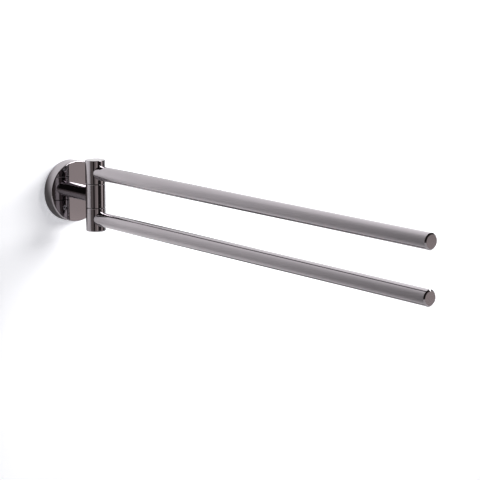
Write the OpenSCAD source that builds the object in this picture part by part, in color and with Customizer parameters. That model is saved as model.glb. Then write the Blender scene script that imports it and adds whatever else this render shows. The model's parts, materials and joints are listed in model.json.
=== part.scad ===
// Towel holder with two arms that swing from an upright post, held to the wall by a round rosette.
// The wall is the plane y = 0 and the holder stands out of it along -Y, with +Z up.
// The origin is the middle of the rosette's back, level with the stem.

/* [Arms] */
// Reach of each arm, from the axis of the post to its outer end
arm_reach = 387; // [250:1:500]
// Outside diameter of the arm tubes
arm_d = 12; // [10:0.5:15]
// Wall of the arm tubes
arm_wall = 1.2; // [0.8:0.1:1.8]
// How much nearer the stem the arm's axis lies than the middle of its knuckle
arm_inset = 0.7; // [0:0.1:2]
// Thickness of the end cap that shows beyond the tube
cap_head = 1.6; // [1.4:0.1:4]
// Chamfer round the outer end of the end cap
cap_chamfer = 1; // [0.2:0.1:1.3]
// Length of the end cap's plug inside the tube
cap_plug = 10; // [5:1:20]
// Length of the spigot's plug inside the tube
spigot_plug = 16; // [8:1:30]
// Thread diameter of the spigot's nose
spigot_thread_d = 6; // [4:0.5:6.5]

/* [Post] */
// Diameter of the post
post_d = 16.5; // [15.5:0.5:22]
// Distance of the post's axis from the wall
post_out = 38; // [34:1:60]
// Height of each of the post's three knuckles
knuckle_h = 19.7; // [18:0.1:26]
// Thickness of the plastic washers between the knuckles
washer_t = 0.3; // [0.2:0.1:1]
// How far the washers' rim lies inside the post's surface
washer_recess = 0.5; // [0.2:0.1:1.5]
// Rounding of the post's top rim
top_round = 0.4; // [0.2:0.1:1.5]
// Rounding of the post's bottom rim
bottom_round = 0.9; // [0.2:0.1:1.5]
// Chamfer along the joints of the post
joint_chamfer = 0.2; // [0.1:0.05:0.4]
// Diameter of the pivot pin
pin_d = 6; // [5:0.5:6.5]
// Thickness of metal above the pin in the upper knuckle and below it in the lower one
knuckle_cap = 3.5; // [2:0.5:5]
// Wall of the plastic bushes
bush_wall = 0.75; // [0.5:0.05:1]
// Chamfer at both ends of the pivot pin
pin_chamfer = 0.5; // [0.2:0.1:1]

/* [Stem] */
// Diameter of the stem
stem_d = 13; // [11:0.5:15.5]
// Thread diameter of the stem screw
stem_screw_d = 6; // [5:0.5:6.5]
// Diameter of the dog point at its tip
dog_d = 4; // [3:0.5:4.5]
// How deep the dog point reaches into the pivot pin
dog_depth = 1; // [0.5:0.1:1.5]
// Diameter of its head
stem_head_d = 10; // [8:0.5:11]
// Height of its head
stem_head_h = 6; // [4:0.5:6.5]
// Hexagon key across flats for the head
stem_key = 5; // [3:0.5:5]
// Depth of the key's recess in the head
stem_key_depth = 3; // [2:0.5:3.5]
// Outside diameter of the washer under the head
stem_washer_d = 12; // [11:0.5:14]
// Thickness of that washer
stem_washer_t = 1.2; // [0.5:0.1:1.6]

/* [Rosette] */
// Diameter of the rosette
rosette_d = 52; // [48:1:70]
// Depth of the rosette from the wall to its face
rosette_depth = 11.6; // [11:0.1:16]
// Thickness of its face
face_t = 2; // [1.6:0.1:2.4]
// Wall of its rim
rim_wall = 2.6; // [2:0.1:3.5]
// Rounding of the edge between its rim and its face
rosette_round = 0.8; // [0.3:0.1:2]
// Chamfer round its back edge, which leaves a fine shadow line along the wall
rosette_edge = 0.5; // [0.2:0.1:0.8]

/* [Wall plate] */
// Thickness of the wall plate
plate_t = 7.5; // [5:0.5:8]
// Diameter of the middle recess that takes the head of the stem screw
plate_recess_d = 16; // [14.5:0.5:19]
// Distance between the two wall screws
wall_screw_spacing = 32; // [30:1:34]
// Thread diameter of the wall screws
wall_screw_d = 4.5; // [3.5:0.5:5]
// Diameter of their plain shank, from the head to the wall face
wall_shank_d = 3.2; // [2.4:0.2:3.2]
// Head diameter of the wall screws
wall_head_d = 8.8; // [8:0.2:9.6]
// How far the wall screws stand out of the wall face
wall_screw_out = 36; // [20:1:60]
// Depth of the cross recess in their heads
cross_depth = 1.6; // [1:0.1:2]
// Width of the arms of that cross
cross_w = 1.1; // [0.8:0.1:1.4]

/* [Set screws] */
// Thread diameter of the three set screws
set_d = 4; // [3.5:0.5:4.5]
// Diameter of the dog points of the two in the knuckles
set_tip_d = 2.4; // [1.8:0.1:2.6]
// Hexagon key across flats
set_key = 2; // [1.5:0.5:2.5]
// Depth of the key's recess
set_key_depth = 1.4; // [1:0.1:1.8]
// How far the knuckles' set screws lie below the post's surface
set_recess = 1; // [0.3:0.1:1.4]
// Height of the knuckles' set screws from the nearer joint of the post
set_rise = 6.2; // [5:0.1:11]
// Chamfer at the mouths of their holes
mouth_chamfer = 0.5; // [0.3:0.1:0.8]
// How far the rosette's set screw lies below the surface of the rim
rim_recess = 0.3; // [0.1:0.1:0.8]
// Depth of the ring grooves in the pivot pin
groove_depth = 1; // [0.6:0.1:1.2]

/* [Hidden] */
$fn = 96;

// Clearance of the pin in its bushes, and of the washers between the knuckles
running_gap = 0.05;
// Clearance between pieces that are pushed or laid against each other
seat_gap = 0.03;
// Clearance of a screw in its thread
thread_gap = 0.05;
// Clearance of a screw in a plain hole, and of a point in its groove
through_gap = 0.3;
// Overrun of every cut
cut = 1;

// Post, round the Z axis and level with the stem at z = 0
post_r = post_d / 2;
pin_r = pin_d / 2;
bush_bore_r = pin_r + running_gap;
bush_r = bush_bore_r + bush_wall;
bore_r = bush_r + seat_gap;
middle_bore_r = pin_r + seat_gap;
washer_r = post_r - washer_recess;
joint_z = knuckle_h / 2;
washer_z = joint_z + running_gap;
swing_z = washer_z + washer_t + running_gap;
bore_depth = knuckle_h - knuckle_cap;
pin_end_z = swing_z + bore_depth - through_gap;

// Set screws of the knuckles, measured from the post's axis
set_z = swing_z + set_rise;
set_r = set_d / 2;
set_tip_r = set_tip_d / 2;
set_outer = post_r - set_recess;
set_shoulder = bush_r + through_gap;
groove_r = pin_r - groove_depth;
set_point = groove_r + through_gap;
groove_h = set_tip_d + 2 * through_gap;

// Arms, measured from the post's axis
arm_z = swing_z + knuckle_h / 2 - arm_inset;
arm_r = arm_d / 2;
arm_bore_r = arm_r - arm_wall;
plug_r = arm_bore_r - seat_gap;
saddle_r = post_r + seat_gap;
cap_start = arm_reach - cap_head;
arm_end = cap_start - seat_gap;
spigot_start = saddle_r + seat_gap;
nose_start = bore_r + seat_gap;

// Stem and its screw, measured from the wall
stem_start = rosette_depth + seat_gap;
stem_screw_r = stem_screw_d / 2;
face_back = rosette_depth - face_t;
washer_front = face_back - seat_gap;
washer_back = washer_front - stem_washer_t;
head_front = washer_back - seat_gap;
head_back = head_front - stem_head_h;
screw_end = post_out - pin_r - seat_gap;
dog_end = post_out - pin_r + dog_depth;
dog_r = dog_d / 2;

// Rosette and wall plate
rosette_r = rosette_d / 2;
rim_r = rosette_r - rim_wall;
plate_r = rim_r - through_gap;
rim_set_out = plate_t / 2;
rim_set_outer = rosette_r - rim_recess;
rim_set_shoulder = plate_r + through_gap / 2;
wall_screw_r = wall_screw_d / 2;
wall_shank_r = wall_shank_d / 2;
wall_head_r = wall_head_d / 2;
wall_head_h = wall_head_r - wall_shank_r;
recess_floor = head_back - through_gap;

nickel = [0.36, 0.34, 0.35];
steel = [0.6, 0.6, 0.62];
zinc = [0.55, 0.56, 0.58];
brass = [0.72, 0.58, 0.3];
plastic = [0.12, 0.12, 0.13];

// A round rod along -Y, from y = -near to y = -far
module out_rod(r, near, far) {
    translate([0, -near, 0])
        rotate([90, 0, 0])
            cylinder(h = far - near, r = r);
}

// A round rod along +Y, from y = near to y = far
module back_rod(r, near, far) {
    translate([0, near, 0])
        rotate([-90, 0, 0])
            cylinder(h = far - near, r = r);
}

// A hexagon key's recess that runs up the Z axis from its mouth at z = 0
module key_recess(across, depth) {
    translate([0, 0, -cut])
        cylinder(h = depth + cut, d = across / cos(30), $fn = 6);
}

// What a rounding of radius r takes off the outer upper corner of a profile, with the corner at the origin
module rounding(r) {
    translate([-r, -r])
        difference() {
            square(r + cut);
            circle(r);
        }
}

// What a chamfer of size c takes off a corner of a profile, with the corner at the origin
module chamfer(c) {
    rotate(45)
        square(c * sqrt(2), center = true);
}

// Moves what is drawn round the post's axis out to the post
module at_post() {
    translate([0, -post_out, 0])
        children();
}

// Turns the upper arm's pieces into the lower arm's
module turned_over() {
    mirror([0, 0, 1])
        children();
}

// Thick round plate that the rosette is pushed over
module wall_plate() {
    color(zinc)
        difference() {
            out_rod(plate_r, 0, plate_t);
            out_rod(plate_recess_d / 2, recess_floor, plate_t + cut);
            for (side = [-1, 1])
                translate([side * wall_screw_spacing / 2, 0, 0])
                    wall_screw_hole();
            translate([0, -rim_set_out, -rim_set_shoulder])
                cylinder(h = set_r + through_gap, r1 = set_r + through_gap, r2 = 0);
        }
}

module wall_screw_hole() {
    out_rod(wall_screw_r + through_gap, -cut, plate_t + cut);
    translate([0, -plate_t, 0])
        rotate([-90, 0, 0])
            cylinder(h = wall_head_h, r1 = wall_head_r + thread_gap, r2 = wall_shank_r + thread_gap);
}

// Countersunk screws through the wall plate
module wall_screws() {
    color(steel)
        for (side = [-1, 1])
            translate([side * wall_screw_spacing / 2, -plate_t, 0])
                rotate([-90, 0, 0])
                    wall_screw();
}

// One wall screw, head at z = 0 and point up, its thread starting at the wall face
module wall_screw() {
    thread_h = wall_screw_out - wall_screw_d;
    difference() {
        union() {
            cylinder(h = wall_head_h, r1 = wall_head_r, r2 = wall_shank_r);
            cylinder(h = plate_t, r = wall_shank_r);
            translate([0, 0, plate_t])
                cylinder(h = thread_h, r = wall_screw_r);
            translate([0, 0, plate_t + thread_h])
                cylinder(h = wall_screw_d, r1 = wall_screw_r, r2 = 0);
        }
        for (turn = [0, 90])
            rotate(turn)
                translate([-wall_screw_r, -cross_w / 2, -cut])
                    cube([wall_screw_d, cross_w, cross_depth + cut]);
    }
}

// Deep cover with a flat face, open towards the wall
module rosette() {
    color(nickel)
        difference() {
            rotate([90, 0, 0])
                rotate_extrude()
                    difference() {
                        square([rosette_r, rosette_depth]);
                        translate([rosette_r, rosette_depth])
                            rounding(rosette_round);
                        translate([rosette_r, 0])
                            chamfer(rosette_edge);
                    }
            out_rod(rim_r, -cut, face_back);
            out_rod(stem_screw_r + through_gap, 0, rosette_depth + cut);
            translate([0, -rim_set_out, -rosette_r - cut])
                cylinder(h = rim_wall + 2 * cut, r = set_r);
        }
}

// Cone point set screw in the underside of the rim
module rosette_set_screw() {
    body_h = rim_set_outer - rim_set_shoulder;
    color(steel)
        translate([0, -rim_set_out, -rim_set_outer])
            difference() {
                union() {
                    cylinder(h = body_h, r = set_r - thread_gap);
                    translate([0, 0, body_h])
                        cylinder(h = set_r - thread_gap, r1 = set_r - thread_gap, r2 = 0);
                }
                key_recess(set_key, set_key_depth);
            }
}

// Round spacer between the rosette's face and the post, hollowed to the post's round
module stem() {
    color(nickel)
        difference() {
            out_rod(stem_d / 2, stem_start, post_out);
            out_rod(stem_screw_r + through_gap, 0, post_out + cut);
            at_post()
                cylinder(h = stem_d + 2 * cut, r = saddle_r, center = true);
        }
}

// Socket head screw from behind the rosette's face into the middle knuckle
module stem_screw() {
    color(steel)
        difference() {
            union() {
                out_rod(stem_head_d / 2, head_back, head_front);
                out_rod(stem_screw_r - thread_gap, head_front, screw_end);
                out_rod(dog_r, screw_end, dog_end);
            }
            translate([0, -head_back, 0])
                rotate([90, 0, 0])
                    key_recess(stem_key, stem_key_depth);
        }
}

// Washer between the screw's head and the rosette's face
module stem_washer() {
    color(steel)
        difference() {
            out_rod(stem_washer_d / 2, washer_back, washer_front);
            out_rod(stem_screw_r + through_gap, 0, rosette_depth);
        }
}

// Fixed middle third of the post
module middle_knuckle() {
    color(nickel)
        at_post()
            difference() {
                translate([0, 0, -joint_z])
                    rotate_extrude()
                        difference() {
                            square([post_r, knuckle_h]);
                            translate([post_r, 0])
                                chamfer(joint_chamfer);
                            translate([post_r, knuckle_h])
                                chamfer(joint_chamfer);
                        }
                cylinder(h = knuckle_h + 2 * cut, r = middle_bore_r, center = true);
                back_rod(stem_screw_r, 0, post_r + cut);
            }
}

// Pin through all three knuckles, locked by the stem screw's dog point
module pivot_pin() {
    color(steel)
        at_post()
            difference() {
                rotate_extrude()
                    pin_profile();
                back_rod(dog_r + seat_gap, pin_r - dog_depth - seat_gap, pin_r + cut);
            }
}

// Half section of the pin, with a chamfer at each end and a ring groove in each swinging knuckle
module pin_profile() {
    difference() {
        translate([0, -pin_end_z])
            square([pin_r, 2 * pin_end_z]);
        for (side = [-1, 1]) {
            translate([pin_r, side * pin_end_z])
                chamfer(pin_chamfer);
            translate([groove_r, side * set_z - groove_h / 2])
                square([groove_depth + cut, groove_h]);
        }
    }
}

// Thin washer between the middle knuckle and the upper one
module joint_washer() {
    color(plastic)
        at_post()
            translate([0, 0, washer_z])
                difference() {
                    cylinder(h = washer_t, r = washer_r);
                    translate([0, 0, -cut])
                        cylinder(h = washer_t + 2 * cut, r = bush_bore_r);
                }
}

// Swinging third of the post, bored from the joint side, with its outer rim rounded by rim_round
module swing_knuckle(rim_round) {
    color(nickel)
        at_post()
            difference() {
                translate([0, 0, swing_z])
                    rotate_extrude()
                        difference() {
                            square([post_r, knuckle_h]);
                            translate([post_r, 0])
                                chamfer(joint_chamfer);
                            translate([post_r, knuckle_h])
                                rounding(rim_round);
                        }
                translate([0, 0, swing_z - cut])
                    cylinder(h = bore_depth + cut, r = bore_r);
                translate([0, 0, arm_z])
                    out_rod(spigot_thread_d / 2, 0, post_r + cut);
                translate([0, 0, set_z])
                    back_rod(set_r, 0, post_r + cut);
                translate([0, post_r - mouth_chamfer, set_z])
                    rotate([-90, 0, 0])
                        cylinder(h = 2 * mouth_chamfer, r1 = set_r, r2 = set_r + 2 * mouth_chamfer);
            }
}

// Sleeve between a swinging knuckle and the pin
module bush() {
    color(plastic)
        at_post()
            difference() {
                translate([0, 0, swing_z])
                    cylinder(h = bore_depth - seat_gap, r = bush_r);
                translate([0, 0, swing_z - cut])
                    cylinder(h = bore_depth + 2 * cut, r = bush_bore_r);
                translate([0, 0, set_z])
                    back_rod(set_tip_r + through_gap, 0, post_r);
            }
}

// Dog point set screw in the back of a swinging knuckle, its point in the pin's groove
module knuckle_set_screw() {
    color(steel)
        at_post()
            translate([0, 0, set_z])
                difference() {
                    union() {
                        back_rod(set_r - thread_gap, set_shoulder, set_outer);
                        back_rod(set_tip_r, set_point, set_shoulder);
                    }
                    translate([0, set_outer, 0])
                        rotate([90, 0, 0])
                            key_recess(set_key, set_key_depth);
                }
}

// Plug fixed in the arm's inner end, its threaded nose screwed into the knuckle
module spigot() {
    color(brass)
        at_post()
            translate([0, 0, arm_z]) {
                out_rod(spigot_thread_d / 2 - thread_gap, nose_start, spigot_start);
                out_rod(plug_r, spigot_start, spigot_start + spigot_plug);
            }
}

// Long tube, its inner end hollowed to the post's round
module arm() {
    color(nickel)
        at_post()
            translate([0, 0, arm_z])
                difference() {
                    out_rod(arm_r, 0, arm_end);
                    out_rod(arm_bore_r, -cut, arm_end + cut);
                    cylinder(h = arm_d + 2 * cut, r = saddle_r, center = true);
                }
}

// Flat cap with a chamfered rim, plugged into the arm's outer end
module end_cap() {
    color(nickel)
        at_post()
            translate([0, 0, arm_z]) {
                out_rod(plug_r, cap_start - cap_plug, cap_start);
                out_rod(arm_r, cap_start, arm_reach - cap_chamfer);
                translate([0, cap_chamfer - arm_reach, 0])
                    rotate([90, 0, 0])
                        cylinder(h = cap_chamfer, r1 = arm_r, r2 = arm_r - cap_chamfer);
            }
}

wall_plate();
wall_screws();
rosette();
rosette_set_screw();
stem();
stem_screw();
stem_washer();
middle_knuckle();
pivot_pin();
joint_washer();  // upper_washer
turned_over() joint_washer();  // lower_washer
swing_knuckle(top_round);  // upper_knuckle
bush();  // upper_bush
knuckle_set_screw();  // upper_set_screw
spigot();  // upper_spigot
arm();  // upper_arm
end_cap();  // upper_end_cap
turned_over() swing_knuckle(bottom_round);  // lower_knuckle
turned_over() bush();  // lower_bush
turned_over() knuckle_set_screw();  // lower_set_screw
turned_over() spigot();  // lower_spigot
turned_over() arm();  // lower_arm
turned_over() end_cap();  // lower_end_cap
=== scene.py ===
"""Studio view of a wall-mounted towel bar with two swinging arms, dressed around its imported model.

Everything is in metres in the model's own frame: the wall is the plane y = 0, the bar stands out of it
along -Y, and +Z is up. An azimuth of 0 is straight out from the wall and grows to the right.
"""
import json
import math

import bmesh
import bpy
from mathutils import Matrix, Vector


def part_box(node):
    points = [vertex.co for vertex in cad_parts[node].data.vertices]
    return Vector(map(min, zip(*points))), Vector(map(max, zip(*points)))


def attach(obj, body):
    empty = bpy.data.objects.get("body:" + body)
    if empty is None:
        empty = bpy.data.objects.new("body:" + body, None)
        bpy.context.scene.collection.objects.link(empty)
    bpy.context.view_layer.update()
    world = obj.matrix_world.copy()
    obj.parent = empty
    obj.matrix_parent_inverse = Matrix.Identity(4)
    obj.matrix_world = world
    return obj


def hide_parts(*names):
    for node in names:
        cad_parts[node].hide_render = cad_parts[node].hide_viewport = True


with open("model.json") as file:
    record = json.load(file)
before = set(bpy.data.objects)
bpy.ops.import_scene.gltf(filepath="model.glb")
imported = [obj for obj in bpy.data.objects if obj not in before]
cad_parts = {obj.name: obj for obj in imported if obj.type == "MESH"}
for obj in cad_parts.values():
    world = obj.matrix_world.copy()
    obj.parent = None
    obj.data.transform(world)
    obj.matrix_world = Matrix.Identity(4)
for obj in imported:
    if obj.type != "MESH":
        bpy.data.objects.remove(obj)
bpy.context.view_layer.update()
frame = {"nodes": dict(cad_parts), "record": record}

# Camera: where it stands, where it looks, its lens, and how near and far it sees
CAMERA_PLACE = Vector((-0.8407, -1.2281, 0.2461))
CAMERA_AZIMUTH = math.radians(-39.99)
CAMERA_TILT = math.radians(-11.06)
CAMERA_ROLL = math.radians(0.17)
CAMERA_LENS = 132.3
CAMERA_SENSOR = 36.0
CAMERA_NEAR = 0.01
CAMERA_FAR = 50.0

# Key light: a soft box to the right of the camera, above the bar
KEY_AZIMUTH = math.radians(33)
KEY_ELEVATION = math.radians(22.2)
KEY_DISTANCE = 1.0
KEY_WIDTH = 0.5
KEY_HEIGHT = 0.42
KEY_POWER = 9.6

# White board behind the bar: its edges, how far it lies behind the wall's plane, how far the rosette laps
# over the round hole in it, the number of corners of that hole, and its colour
BOARD_LEFT = -1.4
BOARD_RIGHT = 1.8
BOARD_TOP = 1.2
BOARD_GAP = 0.0002
BOARD_LAP = 0.001
BOARD_CORNERS = 96
BOARD_WHITE = (0.9, 0.9, 0.91)
# The board's own glow for the camera and for mirror reflections, in two slopes along X: where each starts
# and ends, and how much it adds. What mirror reflections see of it is painted light that fades towards the
# far left
GLOW_SLOPES = [(-0.45, -0.08, 0.24), (-0.16, -0.05, 0.19)]
# More glow for the camera alone, as a slope of the same kind, and the cool tint of the glow that it sees,
# which paints the board's shadows bluish
CAMERA_SLOPE = (-0.13, -0.40, 0.36)
CAMERA_TINT = (0.985, 1.0, 1.06, 1)

# How mirror reflections see the board, with shade and light painted into it for them alone: the share
# that they see of it in a painted shade where the rosette's shadow falls, and the distances from the
# shade's middle where the shade starts and ends
PAINTED_SHADE_SHARE = 0.25
PAINTED_SHADE_REACH = (0.022, 0.031)
# The small share that they see in a painted dark band to the right, which leaves a painted dark reflection
# along right edges, the places along X between which the band sets in and between which it ends, and the
# heights between which it sets in downwards
PAINTED_DARK_SHARE = 0.05
DARK_SIDE = (0.035, 0.07)
DARK_SIDE_END = (0.12, 0.25)
DARK_BELOW = (0.08, 0.02)
# How much brighter they see it close around the shade, as painted light, and the distances from the
# shade's middle where that sets in
PAINTED_LIGHT_SHARE = 0.1
PAINTED_LIGHT_NEAR = (0.10, 0.04)

# Pale floor: how far it lies below the bar, how far it reaches, its colour, and its own glow for the
# camera and for mirror reflections
FLOOR_DROP = 0.9
FLOOR_REACH = 3.0
FLOOR_WHITE = (0.8, 0.8, 0.81, 1)
FLOOR_GLOW = 0.38

# Room in front of the board: how dark it is, the tint of its soft cards, and for each card the azimuth
# and elevation of its middle, half its width, half its height, its soft edge, all in degrees, and its
# level
ROOM_DARK = 0.02
CARD_TINT = (1.12, 1.0, 0.97, 1)
CARDS = [
    (-77, -20, 16, 16, 4, 0.16),
    (-27, -30, 17, 26, 3, 0.28),
    (-13, -30, 9, 26, 3, 0.22),
    (43, -33, 14, 22.3, 0.6, 0.50),
    (34.8, -8, 1.8, 2.7, 0.4, 0.54),
    (47, -7.5, 5, 2.9, 0.5, 1.10),
    (59, -7.5, 6, 2.9, 0.5, 0.45),
    (0, -78, 60, 20, 6, 0.35),
    (0, 90, 20, 20, 5, 0.30),
]
# Broad soft card overhead that only mirror reflections see, so that polished surfaces stay readable from
# all sides
OVERHEAD = (0, 89, 42, 10, 4, 0.40)
# Pale surround behind the board, which lights the bar's back: its level, and how far back a direction
# points where it starts
BACK_LEVEL = 0.85
BACK_START = 0.15

# Plain white, the range in the middle of a noise that holds most of its values, and its usual roughness
WHITE = (1, 1, 1, 1)
NOISE_MIDDLE = (0.3, 0.7)
NOISE_ROUGHNESS = 0.5

# Dark nickel: its two close tones, how much of the light it mirrors when seen at a low angle, the range
# of its roughness, the strength and depth of its waves, and the scale and detail of its haze, its waves
# and its tones
NICKEL_TONES = ((0.345, 0.321, 0.339, 1), (0.357, 0.332, 0.350, 1))
NICKEL_EDGE = (0.87, 0.87, 0.87, 1)
NICKEL_ROUGHNESS = (0.03, 0.06)
NICKEL_BUMP = (0.02, 0.0002)
NICKEL_HAZE = (90.0, 4.0)
NICKEL_WAVES = (14.0, 1.0)
NICKEL_PATCHES = (30.0, 3.0)

# Bare metals: for each its material's name, its two close tones, the range of its roughness, the scale of
# its grain, how the grain is stretched along each axis, and the strength of its bump
STEEL_TONES = ((0.60, 0.60, 0.62, 1), (0.54, 0.54, 0.56, 1))
ZINC_TONES = ((0.60, 0.62, 0.66, 1), (0.52, 0.54, 0.57, 1))
BRASS_TONES = ((0.72, 0.56, 0.28, 1), (0.66, 0.50, 0.24, 1))
STEEL = ("steel_turned", STEEL_TONES, (0.2, 0.32), 900.0, (1, 6, 1), 0.12)
ZINC = ("zinc_plate_blue", ZINC_TONES, (0.3, 0.45), 700.0, (1, 1, 5), 0.15)
BRASS = ("brass_turned", BRASS_TONES, (0.22, 0.34), 900.0, (1, 6, 1), 0.12)
# The detail and roughness of their grain, the depth of its bump, and the scale and detail of their tones
GRAIN_DETAIL = (5.0, 0.6)
GRAIN_DEPTH = 0.0001
METAL_PATCHES = (160.0, 3.0)

# Black plastic: its two close tones, the range of its roughness, the strength and depth of its grain, and
# the scale and detail of its grain and of its glossier patches
PLASTIC_TONES = ((0.016, 0.016, 0.017, 1), (0.03, 0.03, 0.031, 1))
PLASTIC_ROUGHNESS = (0.38, 0.5)
PLASTIC_BUMP = (0.25, 0.00005)
PLASTIC_GRAIN = (2600.0, 2.0)
PLASTIC_PATCHES = (240.0, 3.0)

# Wall screws: the number of mesh columns round each, the head with its upright edge, its whole height and
# the mesh rings down its cone, and the shank
SCREW_COLUMNS = 48
HEAD_RADIUS = 0.0044
HEAD_EDGE = 0.0003
HEAD_HEIGHT = 0.0028
HEAD_STEPS = 12
SHANK_RADIUS = 0.0016
# Their thread: how far behind the head's face it starts, which is the wall's plane, how far before it the
# last plain ring lies, its pitch, the height between the mesh rings, its radius on the ridge and beside
# it, and half the width of the ridge
THREAD_START = 0.0075
THREAD_LEAD = 0.0008
THREAD_PITCH = 0.0022
THREAD_STEP = 0.00022
THREAD_RADIUS = 0.00225
CORE_RADIUS = 0.00145
RIDGE_HALF = 0.00055
# Their point, and the part of its height over which the ridge fades out
POINT_HEIGHT = 0.006
POINT_RADIUS = 0.00015
POINT_FADE = 0.5
# Their cross recess: how far it reaches, half the width of its slots, its depth, how much narrower its
# floor is, and how much deeper its middle
CROSS_REACH = 0.0022
CROSS_HALF = 0.00052
CROSS_DEPTH = 0.0011
CROSS_TAPER = 0.55
CROSS_POINT = 1.25

FULL_TURN = 2 * math.pi
QUARTER_TURN = math.pi / 2
# Keeps a division from being by zero
TINY = 1e-9


def direction(azimuth, elevation):
    """Unit vector from the bar towards an azimuth and an elevation."""
    flat = math.cos(elevation)
    return Vector((math.sin(azimuth) * flat, -math.cos(azimuth) * flat, math.sin(elevation)))


class Nodes:
    """Short way to add and join shader nodes in one tree."""

    def __init__(self, tree):
        self.tree = tree
        tree.nodes.clear()

    def add(self, kind, inputs=None, **settings):
        node = self.tree.nodes.new(kind)
        for key, value in settings.items():
            setattr(node, key, value)
        for key, value in (inputs or {}).items():
            socket = node.inputs[key]
            if isinstance(value, bpy.types.NodeSocket):
                self.tree.links.new(value, socket)
            else:
                socket.default_value = value
        return node

    def math(self, operation, *values):
        return self.add("ShaderNodeMath", dict(enumerate(values)), operation=operation).outputs[0]

    def vector(self, operation, first, second):
        inputs = {0: first, 1: second}
        return self.add("ShaderNodeVectorMath", inputs, operation=operation).outputs["Value"]

    def mixed_color(self, factor, first, second):
        inputs = {"Factor": factor, "A": first, "B": second}
        return self.add("ShaderNodeMix", inputs, data_type="RGBA").outputs["Result"]

    def object_place(self):
        return self.add("ShaderNodeTexCoord").outputs["Object"]

    def along(self, axis, place):
        """One of the parts X, Y and Z of a place."""
        return self.add("ShaderNodeSeparateXYZ", {0: place}).outputs[axis]

    def noise(self, place, scale, detail, roughness=NOISE_ROUGHNESS):
        inputs = {"Vector": place, "Scale": scale, "Detail": detail, "Roughness": roughness}
        return self.add("ShaderNodeTexNoise", inputs).outputs["Fac"]

    def spread(self, value, low=0.0, high=1.0):
        """Maps the middle of a noise to the range from low to high."""
        start, end = NOISE_MIDDLE
        inputs = {"Value": value, "From Min": start, "From Max": end, "To Min": low, "To Max": high}
        return self.add("ShaderNodeMapRange", inputs).outputs["Result"]

    def soft_step(self, value, start, end, before, after):
        """Goes softly from one level to another as the value goes from start to end."""
        inputs = {"Value": value, "From Min": start, "From Max": end, "To Min": before, "To Max": after}
        return self.add("ShaderNodeMapRange", inputs, interpolation_type="SMOOTHSTEP").outputs["Result"]

    def slope(self, value, start, end, amount):
        """Rises softly from zero at start to the amount at end."""
        return self.soft_step(value, start, end, 0.0, amount)

    def bump(self, strength, depth, height):
        inputs = {"Strength": strength, "Distance": depth, "Height": height}
        return self.add("ShaderNodeBump", inputs).outputs["Normal"]

    def surface(self, kind, inputs):
        """Adds the material's last shader and joins it to the output."""
        shader = self.add(kind, inputs)
        self.add("ShaderNodeOutputMaterial", {"Surface": shader.outputs[0]})


def new_material(name):
    material = bpy.data.materials.new(name)
    material.use_nodes = True
    return material, Nodes(material.node_tree)


def polished_nickel():
    """Dark nickel plate, polished to a mirror: faint waviness, fine polishing haze."""
    material, nodes = new_material("dark_nickel_polished")
    place = nodes.object_place()
    patches = nodes.spread(nodes.noise(place, *NICKEL_PATCHES))
    nodes.surface("ShaderNodeBsdfPrincipled", {
        "Base Color": nodes.mixed_color(patches, *NICKEL_TONES),
        "Metallic": 1.0,
        "Specular Tint": NICKEL_EDGE,
        "Roughness": nodes.spread(nodes.noise(place, *NICKEL_HAZE), *NICKEL_ROUGHNESS),
        "Normal": nodes.bump(*NICKEL_BUMP, nodes.noise(place, *NICKEL_WAVES)),
    })
    return material


def bare_metal(name, tones, roughness, scale, stretch, strength):
    """Bare metal: two close tones, and a stretched grain that varies its roughness."""
    material, nodes = new_material(name)
    place = nodes.object_place()
    mapped = nodes.add("ShaderNodeMapping", {"Vector": place, "Scale": stretch}).outputs["Vector"]
    grain = nodes.noise(mapped, scale, *GRAIN_DETAIL)
    patches = nodes.spread(nodes.noise(place, *METAL_PATCHES))
    nodes.surface("ShaderNodeBsdfPrincipled", {
        "Base Color": nodes.mixed_color(patches, *tones),
        "Metallic": 1.0,
        "Roughness": nodes.spread(grain, *roughness),
        "Normal": nodes.bump(strength, GRAIN_DEPTH, grain),
    })
    return material


def black_plastic():
    """Moulded black plastic: fine matt grain with slightly glossier patches."""
    material, nodes = new_material("black_plastic_moulded")
    place = nodes.object_place()
    patches = nodes.noise(place, *PLASTIC_PATCHES)
    nodes.surface("ShaderNodeBsdfPrincipled", {
        "Base Color": nodes.mixed_color(nodes.spread(patches), *PLASTIC_TONES),
        "Roughness": nodes.spread(patches, *PLASTIC_ROUGHNESS),
        "Normal": nodes.bump(*PLASTIC_BUMP, nodes.noise(place, *PLASTIC_GRAIN)),
    })
    return material


def card_level(nodes, way, card):
    """How strongly one soft-edged card shows in the direction way."""
    azimuth, elevation, half_width, half_height, edge, level = card
    middle = direction(math.radians(azimuth), math.radians(elevation))
    right = Vector((math.cos(math.radians(azimuth)), math.sin(math.radians(azimuth)), 0.0))
    up = right.cross(-middle)
    ahead = nodes.vector("DOT_PRODUCT", way, middle)
    parts = []
    for axis, half in ((right, half_width), (up, half_height)):
        across = nodes.vector("DOT_PRODUCT", way, axis)
        angle = nodes.math("ABSOLUTE", nodes.math("ARCTAN2", across, ahead))
        parts.append(nodes.soft_step(angle, math.radians(half - edge), math.radians(half + edge), 1.0, 0.0))
    return nodes.math("MULTIPLY", nodes.math("MULTIPLY", *parts), level)


def seen_by(nodes):
    """Whether a mirror reflection sees the surface, and whether the camera sees it directly."""
    path = nodes.add("ShaderNodeLightPath")
    mirrored = nodes.math("MAXIMUM", path.outputs["Is Glossy Ray"], path.outputs["Is Transmission Ray"])
    return mirrored, path.outputs["Is Camera Ray"]


def board_glow(nodes, place):
    """How much the board adds of its own: painted light that grows less towards its far left."""
    across = nodes.along("X", place)
    glow = 0.0
    for each in GLOW_SLOPES:
        glow = nodes.math("ADD", glow, nodes.slope(across, *each))
    return glow


def shade_middle():
    """Where the key light throws the middle of the rosette's face on the wall."""
    rosette_low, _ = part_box("rosette")
    depth = -rosette_low.y
    drop = math.tan(KEY_ELEVATION) / math.cos(KEY_AZIMUTH) * depth
    return Vector((-math.tan(KEY_AZIMUTH) * depth, 0.0, -drop))


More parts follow.
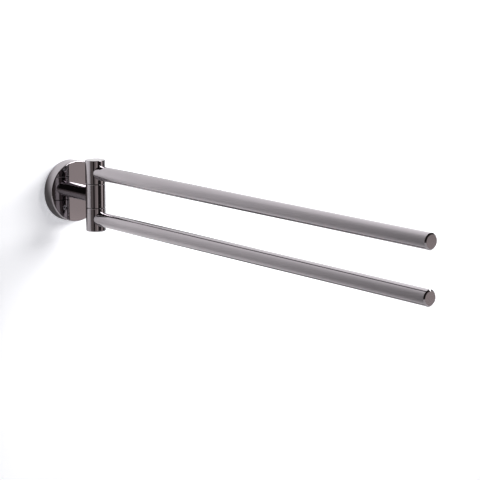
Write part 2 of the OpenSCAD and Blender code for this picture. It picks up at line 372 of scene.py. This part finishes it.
def mirrored_share(nodes, place):
    """How much of the board mirror reflections see at a place: painted shade and light for them alone."""
    away = nodes.vector("DISTANCE", place, shade_middle())
    across = nodes.along("X", place)
    shade = nodes.math("ADD", PAINTED_SHADE_SHARE, nodes.slope(away, *PAINTED_SHADE_REACH, 1.0 - PAINTED_SHADE_SHARE))
    # Painted dark band to the right, below the given heights
    band = nodes.math("SUBTRACT", nodes.slope(across, *DARK_SIDE, 1.0 - PAINTED_DARK_SHARE),
                      nodes.slope(across, *DARK_SIDE_END, 1.0 - PAINTED_DARK_SHARE))
    below = nodes.slope(nodes.along("Z", place), *DARK_BELOW, 1.0)
    side = nodes.math("SUBTRACT", 1.0, nodes.math("MULTIPLY", band, below))
    # Painted light close around the shade
    near = nodes.math("ADD", 1.0, nodes.slope(away, *PAINTED_LIGHT_NEAR, PAINTED_LIGHT_SHARE))
    return nodes.math("MULTIPLY", nodes.math("MULTIPLY", shade, side), near)


def finish_stage(material, nodes, plain, glow):
    """Adds the glow to the plain surface and makes it clear from behind."""
    front = nodes.add("ShaderNodeAddShader", {0: plain.outputs[0], 1: glow.outputs[0]})
    clear = nodes.add("ShaderNodeBsdfTransparent")
    behind = nodes.add("ShaderNodeNewGeometry").outputs["Backfacing"]
    nodes.surface("ShaderNodeMixShader", {0: behind, 1: front.outputs[0], 2: clear.outputs[0]})
    material.cycles.emission_sampling = "NONE"


def board_material():
    """White board with a glow for the camera and mirror reflections, which also see painted shade and
    light.
    """
    material, nodes = new_material("white_board")
    place = nodes.object_place()
    mirrored, direct = seen_by(nodes)
    seen = nodes.math("MAXIMUM", direct, mirrored)
    # Painted shade and light for mirror reflections only: darker in the rosette's shadow and in a band to
    # the right, brighter close around that shadow
    loss = nodes.math("MULTIPLY", mirrored, nodes.math("SUBTRACT", 1.0, mirrored_share(nodes, place)))
    share = nodes.math("SUBTRACT", 1.0, loss)
    color = nodes.add("ShaderNodeVectorMath", {0: BOARD_WHITE, "Scale": share}, operation="SCALE")
    plain = nodes.add("ShaderNodeBsdfDiffuse", {"Color": color.outputs[0]})
    # Glow that mirror reflections see as painted light fading to the far left, and more of it for the
    # camera
    strength = nodes.math("MULTIPLY", board_glow(nodes, place), nodes.math("MULTIPLY", seen, share))
    more = nodes.math("MULTIPLY", direct, nodes.slope(nodes.along("X", place), *CAMERA_SLOPE))
    strength = nodes.math("ADD", strength, more)
    # The camera's glow is tinted cool: painted bluish shade where the board lies in shadow
    tint = nodes.mixed_color(direct, WHITE, CAMERA_TINT)
    glow = nodes.add("ShaderNodeEmission", {"Color": tint, "Strength": strength})
    finish_stage(material, nodes, plain, glow)
    return material


def floor_material():
    """Pale floor with a glow that the camera and mirror reflections see."""
    material, nodes = new_material("pale_floor")
    mirrored, direct = seen_by(nodes)
    seen = nodes.math("MAXIMUM", direct, mirrored)
    plain = nodes.add("ShaderNodeBsdfDiffuse", {"Color": FLOOR_WHITE})
    glow = nodes.add("ShaderNodeEmission", {"Strength": nodes.math("MULTIPLY", seen, FLOOR_GLOW)})
    finish_stage(material, nodes, plain, glow)
    return material


def place_in_scene(name, data):
    thing = bpy.data.objects.new(name, data)
    bpy.context.scene.collection.objects.link(thing)
    return thing


def make_stage(name, points, faces, material):
    """One flat piece of the studio, which isn't part of the bar."""
    mesh = bpy.data.meshes.new(name)
    mesh.from_pydata(points, [], faces)
    mesh.update()
    mesh.materials.append(material)
    place_in_scene(name, mesh)


def make_board():
    """White board with a round hole that the rosette covers, so that the wall plate shows from behind."""
    rosette_low, rosette_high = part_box("rosette")
    hole = (rosette_high.x - rosette_low.x) / 2 - BOARD_LAP
    inner = []
    outer = []
    for i in range(BOARD_CORNERS):
        turn = FULL_TURN / BOARD_CORNERS * i
        x, z = math.cos(turn), math.sin(turn)
        reach_x = (BOARD_RIGHT if x > 0 else -BOARD_LEFT) / max(abs(x), TINY)
        reach_z = (BOARD_TOP if z > 0 else FLOOR_DROP) / max(abs(z), TINY)
        reach = min(reach_x, reach_z)
        inner.append((x * hole, BOARD_GAP, z * hole))
        outer.append((x * reach, BOARD_GAP, z * reach))
    faces = []
    for i in range(BOARD_CORNERS):
        j = (i + 1) % BOARD_CORNERS
        faces.append((i, BOARD_CORNERS + i, BOARD_CORNERS + j, j))
    make_stage("board", inner + outer, faces, board_material())


def make_floor():
    """Square pale floor below the bar."""
    corners = [(-1, -1), (1, -1), (1, 1), (-1, 1)]
    points = [(x * FLOOR_REACH, y * FLOOR_REACH, -FLOOR_DROP) for x, y in corners]
    make_stage("floor", points, [(0, 1, 2, 3)], floor_material())


def make_key():
    """Soft box that points at the bar."""
    light = bpy.data.lights.new("key", "AREA")
    light.shape = "RECTANGLE"
    light.size = KEY_WIDTH
    light.size_y = KEY_HEIGHT
    light.energy = KEY_POWER
    way = direction(KEY_AZIMUTH, KEY_ELEVATION)
    lamp = place_in_scene("key", light)
    lamp.location = way * KEY_DISTANCE
    lamp.rotation_euler = way.to_track_quat("Z", "Y").to_euler()


def make_world():
    """Dark room with soft cards and a pale surround behind it, plain white where the camera sees it."""
    world = bpy.data.worlds.new("room")
    world.use_nodes = True
    nodes = Nodes(world.node_tree)
    way = nodes.add("ShaderNodeTexCoord").outputs["Generated"]
    path = nodes.add("ShaderNodeLightPath")
    level = ROOM_DARK
    for card in CARDS:
        level = nodes.math("ADD", level, card_level(nodes, way, card))
    overhead = nodes.math("MULTIPLY", card_level(nodes, way, OVERHEAD), path.outputs["Is Glossy Ray"])
    level = nodes.math("ADD", level, overhead)
    room = nodes.add("ShaderNodeBackground", {"Color": CARD_TINT, "Strength": level})
    back = nodes.add("ShaderNodeBackground", {"Color": WHITE, "Strength": BACK_LEVEL})
    white = nodes.add("ShaderNodeBackground", {"Color": WHITE, "Strength": 1.0})
    behind = nodes.math("GREATER_THAN", nodes.along("Y", way), BACK_START)
    around = nodes.add("ShaderNodeMixShader", {0: behind, 1: room.outputs[0], 2: back.outputs[0]})
    seen = path.outputs["Is Camera Ray"]
    shader = nodes.add("ShaderNodeMixShader", {0: seen, 1: around.outputs[0], 2: white.outputs[0]})
    nodes.add("ShaderNodeOutputWorld", {"Surface": shader.outputs[0]})
    bpy.context.scene.world = world


def make_camera():
    """Camera at the photograph's viewing angle."""
    lens = bpy.data.cameras.new("camera")
    lens.lens = CAMERA_LENS
    lens.sensor_width = CAMERA_SENSOR
    lens.clip_start = CAMERA_NEAR
    lens.clip_end = CAMERA_FAR
    ahead = -direction(CAMERA_AZIMUTH, -CAMERA_TILT)
    right = Vector((math.cos(CAMERA_AZIMUTH), math.sin(CAMERA_AZIMUTH), 0.0))
    up = right.cross(ahead)
    rolled_right = right * math.cos(CAMERA_ROLL) + up * math.sin(CAMERA_ROLL)
    rolled_up = rolled_right.cross(ahead)
    turn = Matrix((rolled_right, rolled_up, -ahead)).transposed()
    camera = place_in_scene("camera", lens)
    camera.matrix_world = Matrix.Translation(CAMERA_PLACE) @ turn.to_4x4()
    bpy.context.scene.camera = camera


def screw_heights(length):
    """Heights of the mesh rings from the head's face to the point: close together along the thread."""
    heights = [0.0, HEAD_EDGE]
    for i in range(HEAD_STEPS):
        heights.append(HEAD_EDGE + (HEAD_HEIGHT - HEAD_EDGE) * (i + 1) / HEAD_STEPS)
    heights.append(THREAD_START - THREAD_LEAD)
    count = int((length - THREAD_START) / THREAD_STEP)
    for i in range(count + 1):
        heights.append(THREAD_START + (length - THREAD_START) * i / count)
    return heights


def screw_radius(h, turn, length):
    """Radius of the screw at height h and angle turn."""
    if h <= HEAD_EDGE:
        return HEAD_RADIUS
    if h < HEAD_HEIGHT:
        return HEAD_RADIUS + (SHANK_RADIUS - HEAD_RADIUS) * (h - HEAD_EDGE) / (HEAD_HEIGHT - HEAD_EDGE)
    if h < THREAD_START:
        return SHANK_RADIUS
    taper = min(1.0, max(0.0, (length - h) / POINT_HEIGHT))
    core = CORE_RADIUS * taper + POINT_RADIUS
    from_ridge = abs((h / THREAD_PITCH - turn / FULL_TURN) % 1.0 - 0.5) * THREAD_PITCH
    ridge = max(0.0, 1.0 - from_ridge / RIDGE_HALF)
    run_in = min(1.0, (h - THREAD_START) / THREAD_PITCH)
    run_out = min(1.0, taper / POINT_FADE)
    return core + (THREAD_RADIUS - CORE_RADIUS) * ridge * run_in * run_out


def cross_reach(turn):
    """How far the cross recess reaches from its middle in one direction."""
    best = 0.0
    for quarter in range(4):
        across = turn - quarter * QUARTER_TURN
        ahead = math.cos(across)
        side = abs(math.sin(across))
        if ahead > 0:
            best = max(best, min(CROSS_REACH / ahead, CROSS_HALF / max(side, TINY)))
    return best


def close_head(mesh, ring, x, y):
    """Flat head face with a cross recess sunk into it."""
    mouth = []
    floor = []
    for i in range(SCREW_COLUMNS):
        turn = FULL_TURN * i / SCREW_COLUMNS
        reach = cross_reach(turn)
        along, up = reach * math.cos(turn), reach * math.sin(turn)
        mouth.append(mesh.verts.new((x + along, y, up)))
        floor.append(mesh.verts.new((x + along * CROSS_TAPER, y + CROSS_DEPTH, up * CROSS_TAPER)))
    middle = mesh.verts.new((x, y + CROSS_DEPTH * CROSS_POINT, 0.0))
    for i in range(SCREW_COLUMNS):
        j = (i + 1) % SCREW_COLUMNS
        mesh.faces.new((ring[i], ring[j], mouth[j], mouth[i]))
        mesh.faces.new((mouth[i], mouth[j], floor[j], floor[i]))
        mesh.faces.new((floor[i], floor[j], middle))


def threaded_screw(name, x, face_y, point_y):
    """Countersunk wall screw: cross recess, plain shank, and a thread that runs out at the point."""
    mesh = bmesh.new()
    length = point_y - face_y
    rings = []
    for h in screw_heights(length):
        ring = []
        for i in range(SCREW_COLUMNS):
            turn = FULL_TURN * i / SCREW_COLUMNS
            r = screw_radius(h, turn, length)
            ring.append(mesh.verts.new((x + r * math.cos(turn), face_y + h, r * math.sin(turn))))
        rings.append(ring)
    for lower, upper in zip(rings, rings[1:]):
        for i in range(SCREW_COLUMNS):
            j = (i + 1) % SCREW_COLUMNS
            mesh.faces.new((lower[j], lower[i], upper[i], upper[j]))
    mesh.faces.new(rings[-1][::-1])
    close_head(mesh, rings[0], x, face_y)
    mesh.normal_update()
    data = bpy.data.meshes.new(name)
    mesh.to_mesh(data)
    mesh.free()
    return place_in_scene(name, data)


def make_wall_screws(material):
    """Both wall screws with their real thread, in place of the plain ones."""
    screws_low, screws_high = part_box("wall_screws")
    left = screws_low.x + HEAD_RADIUS
    right = screws_high.x - HEAD_RADIUS
    for name, x in (("left_wall_screw", left), ("right_wall_screw", right)):
        screw = threaded_screw(name, x, screws_low.y, screws_high.y)
        screw.data.materials.append(material)
        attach(screw, "wall_side")
        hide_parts("wall_screws")


def dress_nodes(materials):
    """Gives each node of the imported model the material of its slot."""
    for subpart in frame["record"]["subparts"]:
        data = frame["nodes"][subpart["node"]].data
        data.materials.clear()
        data.materials.append(materials[subpart["material_slot"]])


materials_by_slot = {
    "dark_nickel": polished_nickel(),
    "steel": bare_metal(*STEEL),
    "zinc_plated_steel": bare_metal(*ZINC),
    "brass": bare_metal(*BRASS),
    "black_plastic": black_plastic(),
}
dress_nodes(materials_by_slot)
make_wall_screws(materials_by_slot["steel"])
make_board()
make_floor()
make_key()
make_world()
make_camera()
bpy.context.scene.view_settings.view_transform = "Standard"
